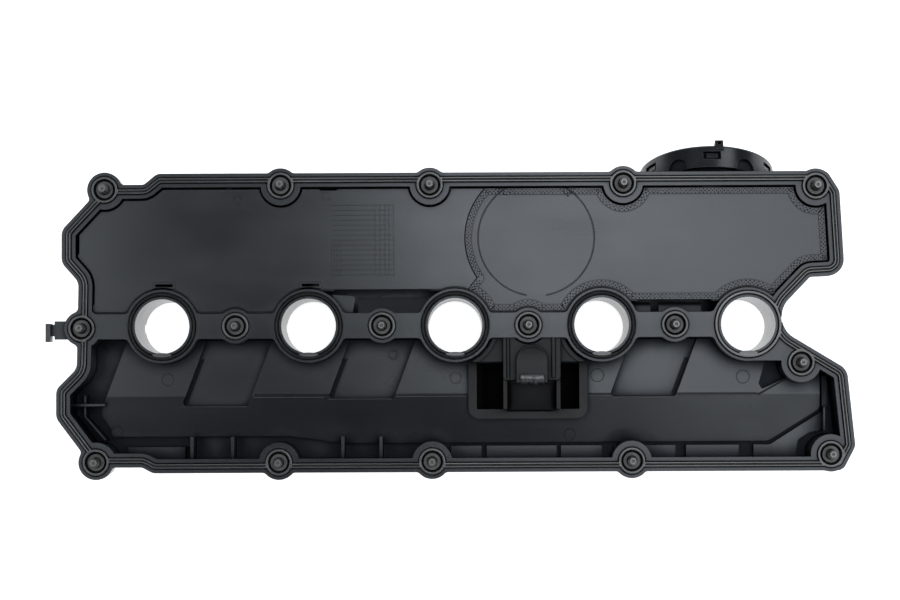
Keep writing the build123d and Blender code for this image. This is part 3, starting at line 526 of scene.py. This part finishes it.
def rim_loops(node):
    """Outlines, in millimetres, of a separator plate's flat top, where its side reaches below its foot."""
    level_slack = 0.01
    shape = merged_copy(node)
    rim = []
    for edge in shape.edges:
        if any(abs(vert.co.z / MM - plate_top) > level_slack for vert in edge.verts):
            continue
        flat = [face for face in edge.link_faces
                if all(abs(vert.co.z / MM - plate_top) < level_slack for vert in face.verts)]
        side = [face for face in edge.link_faces if face not in flat]
        if len(flat) == 1 and side and min(vert.co.z / MM for vert in side[0].verts) < plate_foot:
            rim.append((edge, flat[0].calc_center_median()))
    ways = {}
    for edge, middle in rim:
        a, b = edge.verts
        along = b.co - a.co
        if along.x * (middle.y - a.co.y) - along.y * (middle.x - a.co.x) < 0:
            a, b = b, a
        ways[a.index] = b.index
    places = {vert.index: (vert.co.x / MM, vert.co.y / MM) for vert in shape.verts}
    shape.free()
    loops = []
    heads = [index for index in ways if index not in set(ways.values())]
    while ways:
        first = heads.pop() if heads else next(iter(ways))
        loop = [first]
        then = ways.pop(first)
        while then in ways:
            loop.append(then)
            then = ways.pop(then)
        loop.append(then)
        loops.append([places[index] for index in loop])
    return loops


def along_loop(loop, step, inset, shift):
    """Points every step along an outline, set in to its left by inset."""
    points = []
    due = shift
    for index in range(len(loop) - 1):
        a = Vector(loop[index])
        b = Vector(loop[index + 1])
        length = (b - a).length
        if length < 1e-6:
            continue
        way = (b - a) / length
        while due < length:
            spot = a + way * due + Vector((-way.y, way.x)) * inset
            points.append((spot.x, spot.y))
            due += step
        due -= length
    return points


def rounded_seals():
    """Gasket and ring seals with rounded sealing lips."""
    rounded_seal("gasket_with_lips", ["perimeter_gasket"], 0.3, (0.48, 0.08), rubber)
    rounded_seal("well_seals_with_lips", well_seals, 0.3, (0.34, 0.08), rubber)
    rounded_seal("bolt_seals_rounded", ["centre_bolt_seals"], 0.45, (0.3, 0.1), rubber)


def weld_strip():
    """Rows of small points on the welded rim of the right separator plate."""
    step = 2.3
    first_row = 0.85
    places = []
    for loop in rim_loops("separator_plate_right"):
        for row in range(3):
            places += along_loop(loop, step, first_row + row, step / 2 * (row % 2))
    # Painted shade: the studs take the near-black pit colour.
    return small_studs("plate_weld_strip", [(x, y, plate_top) for x, y in places], 0.66, 0.1, 0.25,
                       pit_shade_black)


def near_a_well(spot):
    """Whether a place in millimetres lies beside the rim of a coil well."""
    return any((Vector(spot) - Vector((x, 0))).length < well_rim_reach for x in well_xs)


def weld_seams():
    """Melted seam where the separator plates are welded to the spine and the well rims."""
    seam_level = -2.75
    runs = []
    for node, drain_y in (("separator_plate_left", 21.9), ("separator_plate_right", 15.2)):
        for loop in rim_loops(node):
            run = []
            for x, y in along_loop(loop, 1.2, -0.55, 0):
                if near_a_well((x, y)) or (y < spine_edge_y and abs(y - drain_y) > 1.2):
                    run.append((x, y, seam_level))
                    continue
                if len(run) > 2:
                    runs.append((run, False))
                run = []
            if len(run) > 2:
                runs.append((run, False))
    return swept_beads("plate_weld_seams", runs, 0.78, dark_plate, 8)


def sheet_between(rows, thickness, name, material):
    """Closed sheet through rows of points in millimetres, with its thickness below it."""
    shape = bmesh.new()
    tops = [[shape.verts.new(Vector(point) * MM) for point in row] for row in rows]
    down = Vector((0, 0, thickness))
    lows = [[shape.verts.new((Vector(point) - down) * MM) for point in row] for row in rows]
    for layer, turned in ((tops, False), (lows, True)):
        for row, after in zip(layer, layer[1:]):
            for index in range(len(row) - 1):
                corners = [row[index], row[index + 1], after[index + 1], after[index]]
                shape.faces.new(list(reversed(corners)) if turned else corners)
    rim = [(0, index) for index in range(len(rows[0]))]
    rim += [(row, len(rows[0]) - 1) for row in range(1, len(rows))]
    rim += [(len(rows) - 1, index) for index in range(len(rows[0]) - 2, -1, -1)]
    rim += [(row, 0) for row in range(len(rows) - 2, 0, -1)]
    for (a, b), (c, d) in zip(rim, rim[1:] + rim[:1]):
        shape.faces.new((tops[a][b], tops[c][d], lows[c][d], lows[a][b]))
    bmesh.ops.recalc_face_normals(shape, faces=shape.faces)
    return add_piece(name, mesh_of(shape, name), material, "cover")


def guard_front():
    """Sloping front wall between the cheeks of the filler guard, curving down from the hood to the frame."""
    left, width, columns = 31.3, 29.4, 8
    top, run = -33.2, 18.4
    level, drop, curve = -4.6, 10.9, 0.7
    steps = 12
    rows = []
    for step in range(steps + 1):
        part = step / steps
        y = top - run * part
        height = level - drop * part ** curve
        rows.append([(left + width * column / columns, y, height) for column in range(columns + 1)])
    sheet_between(rows, 1.2, "guard_front_wall", guard_nylon)


def guard_flash():
    """Ragged lip of squeezed-out plastic under the tongue of the filler guard."""
    left, width, columns = 38.8, 14.6, 14
    along, upward = 0.8, 0.7
    dice = random.Random(5)
    rows = []
    for y, level, ragged in ((-29.4, 1.95, 0.1), (-30.8, 2.6, 0.5), (-32.8, 2.3, 0.9), (-35.4, 0.8, 1.0)):
        row = []
        for column in range(columns + 1):
            x = left + width * column / columns
            row.append((x, y + dice.uniform(-along, along) * ragged,
                        level + dice.uniform(-upward, upward) * ragged))
        rows.append(row)
    # Painted highlight: the lip takes the lighter, more reflective edge nylon, so it reads brighter than the
    # guard around it.
    sheet_between(rows, 0.9, "guard_tongue_lip", painted_highlight_edge)


def mould_grid():
    """Fine raised lines left by the mould on the left separator plate."""
    level = plate_top + 0.02
    left, right, low, top = -74.4, -36.6, 29.0, 72.6
    spacing = 3.0
    paths = []
    for row in range(15):
        y = top - spacing * row
        paths.append(([(left + 0.3 * (row % 3), y, level), (right, y, level)], False))
    for x in (left, -72.6, -70.8, -69.0):
        paths.append(([(x, low, level), (x, 50.0, level)], False))
    for x in (-48.0, -45.0, -42.0, -39.6, right):
        paths.append(([(x, low, level), (x, 73.0, level)], False))
    return swept_beads("plate_mould_grid", paths, 0.08, dark_plate, 4)


def panel_height(y):
    """Height of the raised panel at a distance across the cover."""
    return panel_level - max(0.0, panel_slope_y - y) * panel_fall


def ring_path(x, y, radius, level_at):
    """Circle lying on a surface whose height depends on y."""
    points = []
    sides = 32
    for index in range(sides):
        angle = 2 * pi * index / sides
        place_y = y + radius * sin(angle)
        points.append((x + radius * cos(angle), place_y, level_at(place_y)))
    return points, True


def crease_lines():
    """Fine lines that the mould left where the panel bends and along the recesses' lower edges, as beads that
    catch the lamps, with a painted highlight in their lighter, more reflective nylon.
    """
    lines = [(-167.4, -126.8, -48.4), (-122.6, -79.5, -42.9), (-77.4, -38.6, -44.1), (-35.8, 7.4, -42.6),
             (80.8, 95.0, -42.6), (95.6, 135.2, -44.0), (136.4, 180.4, -42.4)]
    sunk = 0.06
    steps = 6
    paths = []
    for start, end, y in lines:
        level = panel_height(y) - sunk
        paths.append(([(start + (end - start) * step / steps, y, level) for step in range(steps + 1)], False))
    return swept_beads("panel_crease_lines", paths, 0.26, painted_highlight_edge, 6)


def ejector_marks():
    """Round marks of the mould's ejector pins on the panel and on the left plate."""
    on_panel = [(-174.4, -32.0, 3.6), (-205.5, -63.4, 3.6), (-37.6, -17.0, 2.7), (0.2, -31.5, 3.3),
                (86.2, -30.2, 3.9), (174.4, -31.5, 3.9), (69.3, -66.0, 3.3)]
    panel_paths = [ring_path(x, y, radius, panel_height) for x, y, radius in on_panel]
    swept_beads("panel_ejector_marks", panel_paths, 0.16, nylon)
    on_plate = [(-130.8, 75.8, 2.6), (-77.4, 78.2, 2.4)]
    plate_paths = [ring_path(x, y, radius, lambda place_y: plate_top) for x, y, radius in on_plate]
    swept_beads("plate_ejector_marks", plate_paths, 0.13, dark_plate)


def bolt_places():
    """Places of the mounting bolts, from their dimpled tips."""
    tip_width = 6
    shape = merged_copy("mounting_bolts")
    tips = [vert.co for vert in shape.verts if vert.co.z > (bolt_reach - 0.1) * MM]
    groups = []
    for tip in tips:
        spot = Vector((tip.x / MM, tip.y / MM))
        near = [group for group in groups if (group[0] - spot).length < tip_width]
        if near:
            near[0].append(spot)
        else:
            groups.append([spot])
    shape.free()
    middles = []
    for group in groups:
        xs = [spot.x for spot in group]
        ys = [spot.y for spot in group]
        middles.append(((min(xs) + max(xs)) / 2, (min(ys) + max(ys)) / 2))
    return sorted(middles)


def bolt_threads():
    """Rolled thread on the free end of every mounting bolt."""
    steps = 18
    paths = []
    for x, y in bolt_places():
        points = []
        for index in range(int(steps * thread_turns)):
            angle = 2 * pi * index / steps
            height = thread_start + thread_pitch * index / steps
            points.append((x + bolt_radius * cos(angle), y + bolt_radius * sin(angle), height))
        paths.append((points, False))
    return swept_beads("bolt_threads", paths, 0.24, steel, 5)


def valve_spring():
    """Spring of the breather valve, on a mesh of its own."""
    shape = merged_copy("breather_spring")
    spring = add_piece("valve_spring", mesh_of(shape, "valve_spring"), steel, "cover")
    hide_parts("breather_spring")
    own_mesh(spring)


def seal_tabs():
    """Lens-shaped ends of the locating tabs of the well seals, level with the lips."""
    shape = bmesh.new()
    steps = 12
    inner_half, outer_half = 5.6, 5.9
    bulge = 0.65
    for x in well_xs:
        rows = []
        for level, grow in ((-1.2, 0.0), (0.9, 0.0), (1.15, -0.3)):
            row = []
            for index in range(steps + 1):
                part = index / steps * 2 - 1
                half = (inner_half + grow) * part
                top = -well_radius + (bulge + grow) * (1 - part * part) + 0.05
                row.append(shape.verts.new(((x + half) * MM, (top - 0.25) * MM, level * MM)))
            for index in range(steps + 1):
                part = 1 - index / steps * 2
                half = (outer_half + grow) * part
                base = -(seal_seat_radius ** 2 - half ** 2) ** 0.5
                row.append(shape.verts.new(((x + half) * MM, (base - 0.4 + grow) * MM, level * MM)))
            rows.append(row)
        count = len(rows[0])
        for low, high in zip(rows, rows[1:]):
            for index in range(count):
                after = (index + 1) % count
                shape.faces.new((low[index], low[after], high[after], high[index]))
        shape.faces.new(rows[-1])
        shape.faces.new(list(reversed(rows[0])))
    bmesh.ops.recalc_face_normals(shape, faces=shape.faces)
    mesh = mesh_of(shape, "well_seal_tabs")
    return add_piece("well_seal_tabs", mesh, rubber, "cover", smooth=False)


rounded_seals()
weld_strip()
weld_seams()
guard_front()
guard_flash()
mould_grid()
crease_lines()
ejector_marks()
bolt_threads()
valve_spring()
seal_tabs()


def make_camera():
    """Long lens high above the cover, a little below its middle, looking at the middle of the frame."""
    data = bpy.data.cameras.new("camera")
    camera = placed("camera", data)
    data.lens = camera_lens
    data.sensor_width = 36.0
    data.clip_end = 50
    eye = Vector((*camera_foot, camera_height))
    forward = (Vector(frame_centre) - eye).normalized()
    right = forward.cross(Vector((0, 1, 0))).normalized()
    upward = right.cross(forward)
    basis = Matrix((right, upward, -forward)).transposed()
    camera.matrix_world = Matrix.Translation(eye) @ (basis @ Matrix.Rotation(camera_roll, 3, "Z")).to_4x4()
    bpy.context.scene.camera = camera


def make_light(name, place, target, size, power, turn):
    """Cool soft area light aimed at a point and turned about its axis."""
    data = bpy.data.lights.new(name, "AREA")
    data.shape = "RECTANGLE"
    data.size, data.size_y = size
    data.energy = power
    data.color = light_tint
    light = placed(name, data)
    light.location = place
    aim = (Vector(target) - Vector(place)).to_track_quat("-Z", "Y").to_matrix()
    light.rotation_euler = (Matrix.Rotation(radians(turn), 3, "Z") @ aim).to_euler()
    return light


def make_floor():
    """Plain pale floor under the lowest point of the cover."""
    mesh = bpy.data.meshes.new("floor")
    low = cad_box[0][2] - floor_gap
    corners = [(x * floor_half, y * floor_half, low) for x, y in ((-1, -1), (1, -1), (1, 1), (-1, 1))]
    mesh.from_pydata(corners, [], [(0, 1, 2, 3)])
    floor = placed("floor", mesh)
    material, tree, shader = shader_tree("pale_floor")
    shader.inputs["Base Color"].default_value = (0.93, 0.93, 0.93, 1)
    shader.inputs["Roughness"].default_value = 0.9
    shader.inputs["Emission Color"].default_value = (1, 1, 1, 1)
    shader.inputs["Emission Strength"].default_value = floor_glow
    mesh.materials.append(material)


def make_world():
    """Even pale surroundings."""
    world = bpy.data.worlds.new("studio")
    world.use_nodes = True
    world.node_tree.nodes["Background"].inputs["Color"].default_value = (1, 1, 1, 1)
    world.node_tree.nodes["Background"].inputs["Strength"].default_value = world_strength
    bpy.context.scene.world = world


make_camera()
make_world()
make_floor()
for light_row in (
        ("right_softbox", (0.56, 0.07, 1.75), (0.56, 0.07, 0), (1.1, 1.4), 13.2, 24),
        ("bright_middle", (0.12, 0.26, 1.74), (0.12, 0.26, 0), (0.38, 0.45), 1.2, 0),
        ("left_softbox", (-0.84, -0.04, 1.75), (-0.84, -0.04, 0), (0.8, 1.1), 7.2, 0),
        ("front_fill", (0.2, -2.4, 1.3), (0, 0, 0), (1.6, 0.9), 6, 0),
        ("back_fill", (-0.3, 2.4, 1.2), (0, 0, 0), (1.6, 0.9), 8, 0),
        ("left_fill", (-2.4, 0.2, 1.1), (0, 0, 0), (1.4, 0.9), 5, 0),
        ("right_fill", (2.5, -0.4, 1.1), (0, 0, 0), (1.4, 0.9), 6, 0),
        ("corner_softbox", (1.3, 1.7, 1.5), (0.1, 0.05, 0), (1.0, 0.8), 8, 0)):
    make_light(*light_row)
bpy.context.scene.view_settings.view_transform = "Standard"
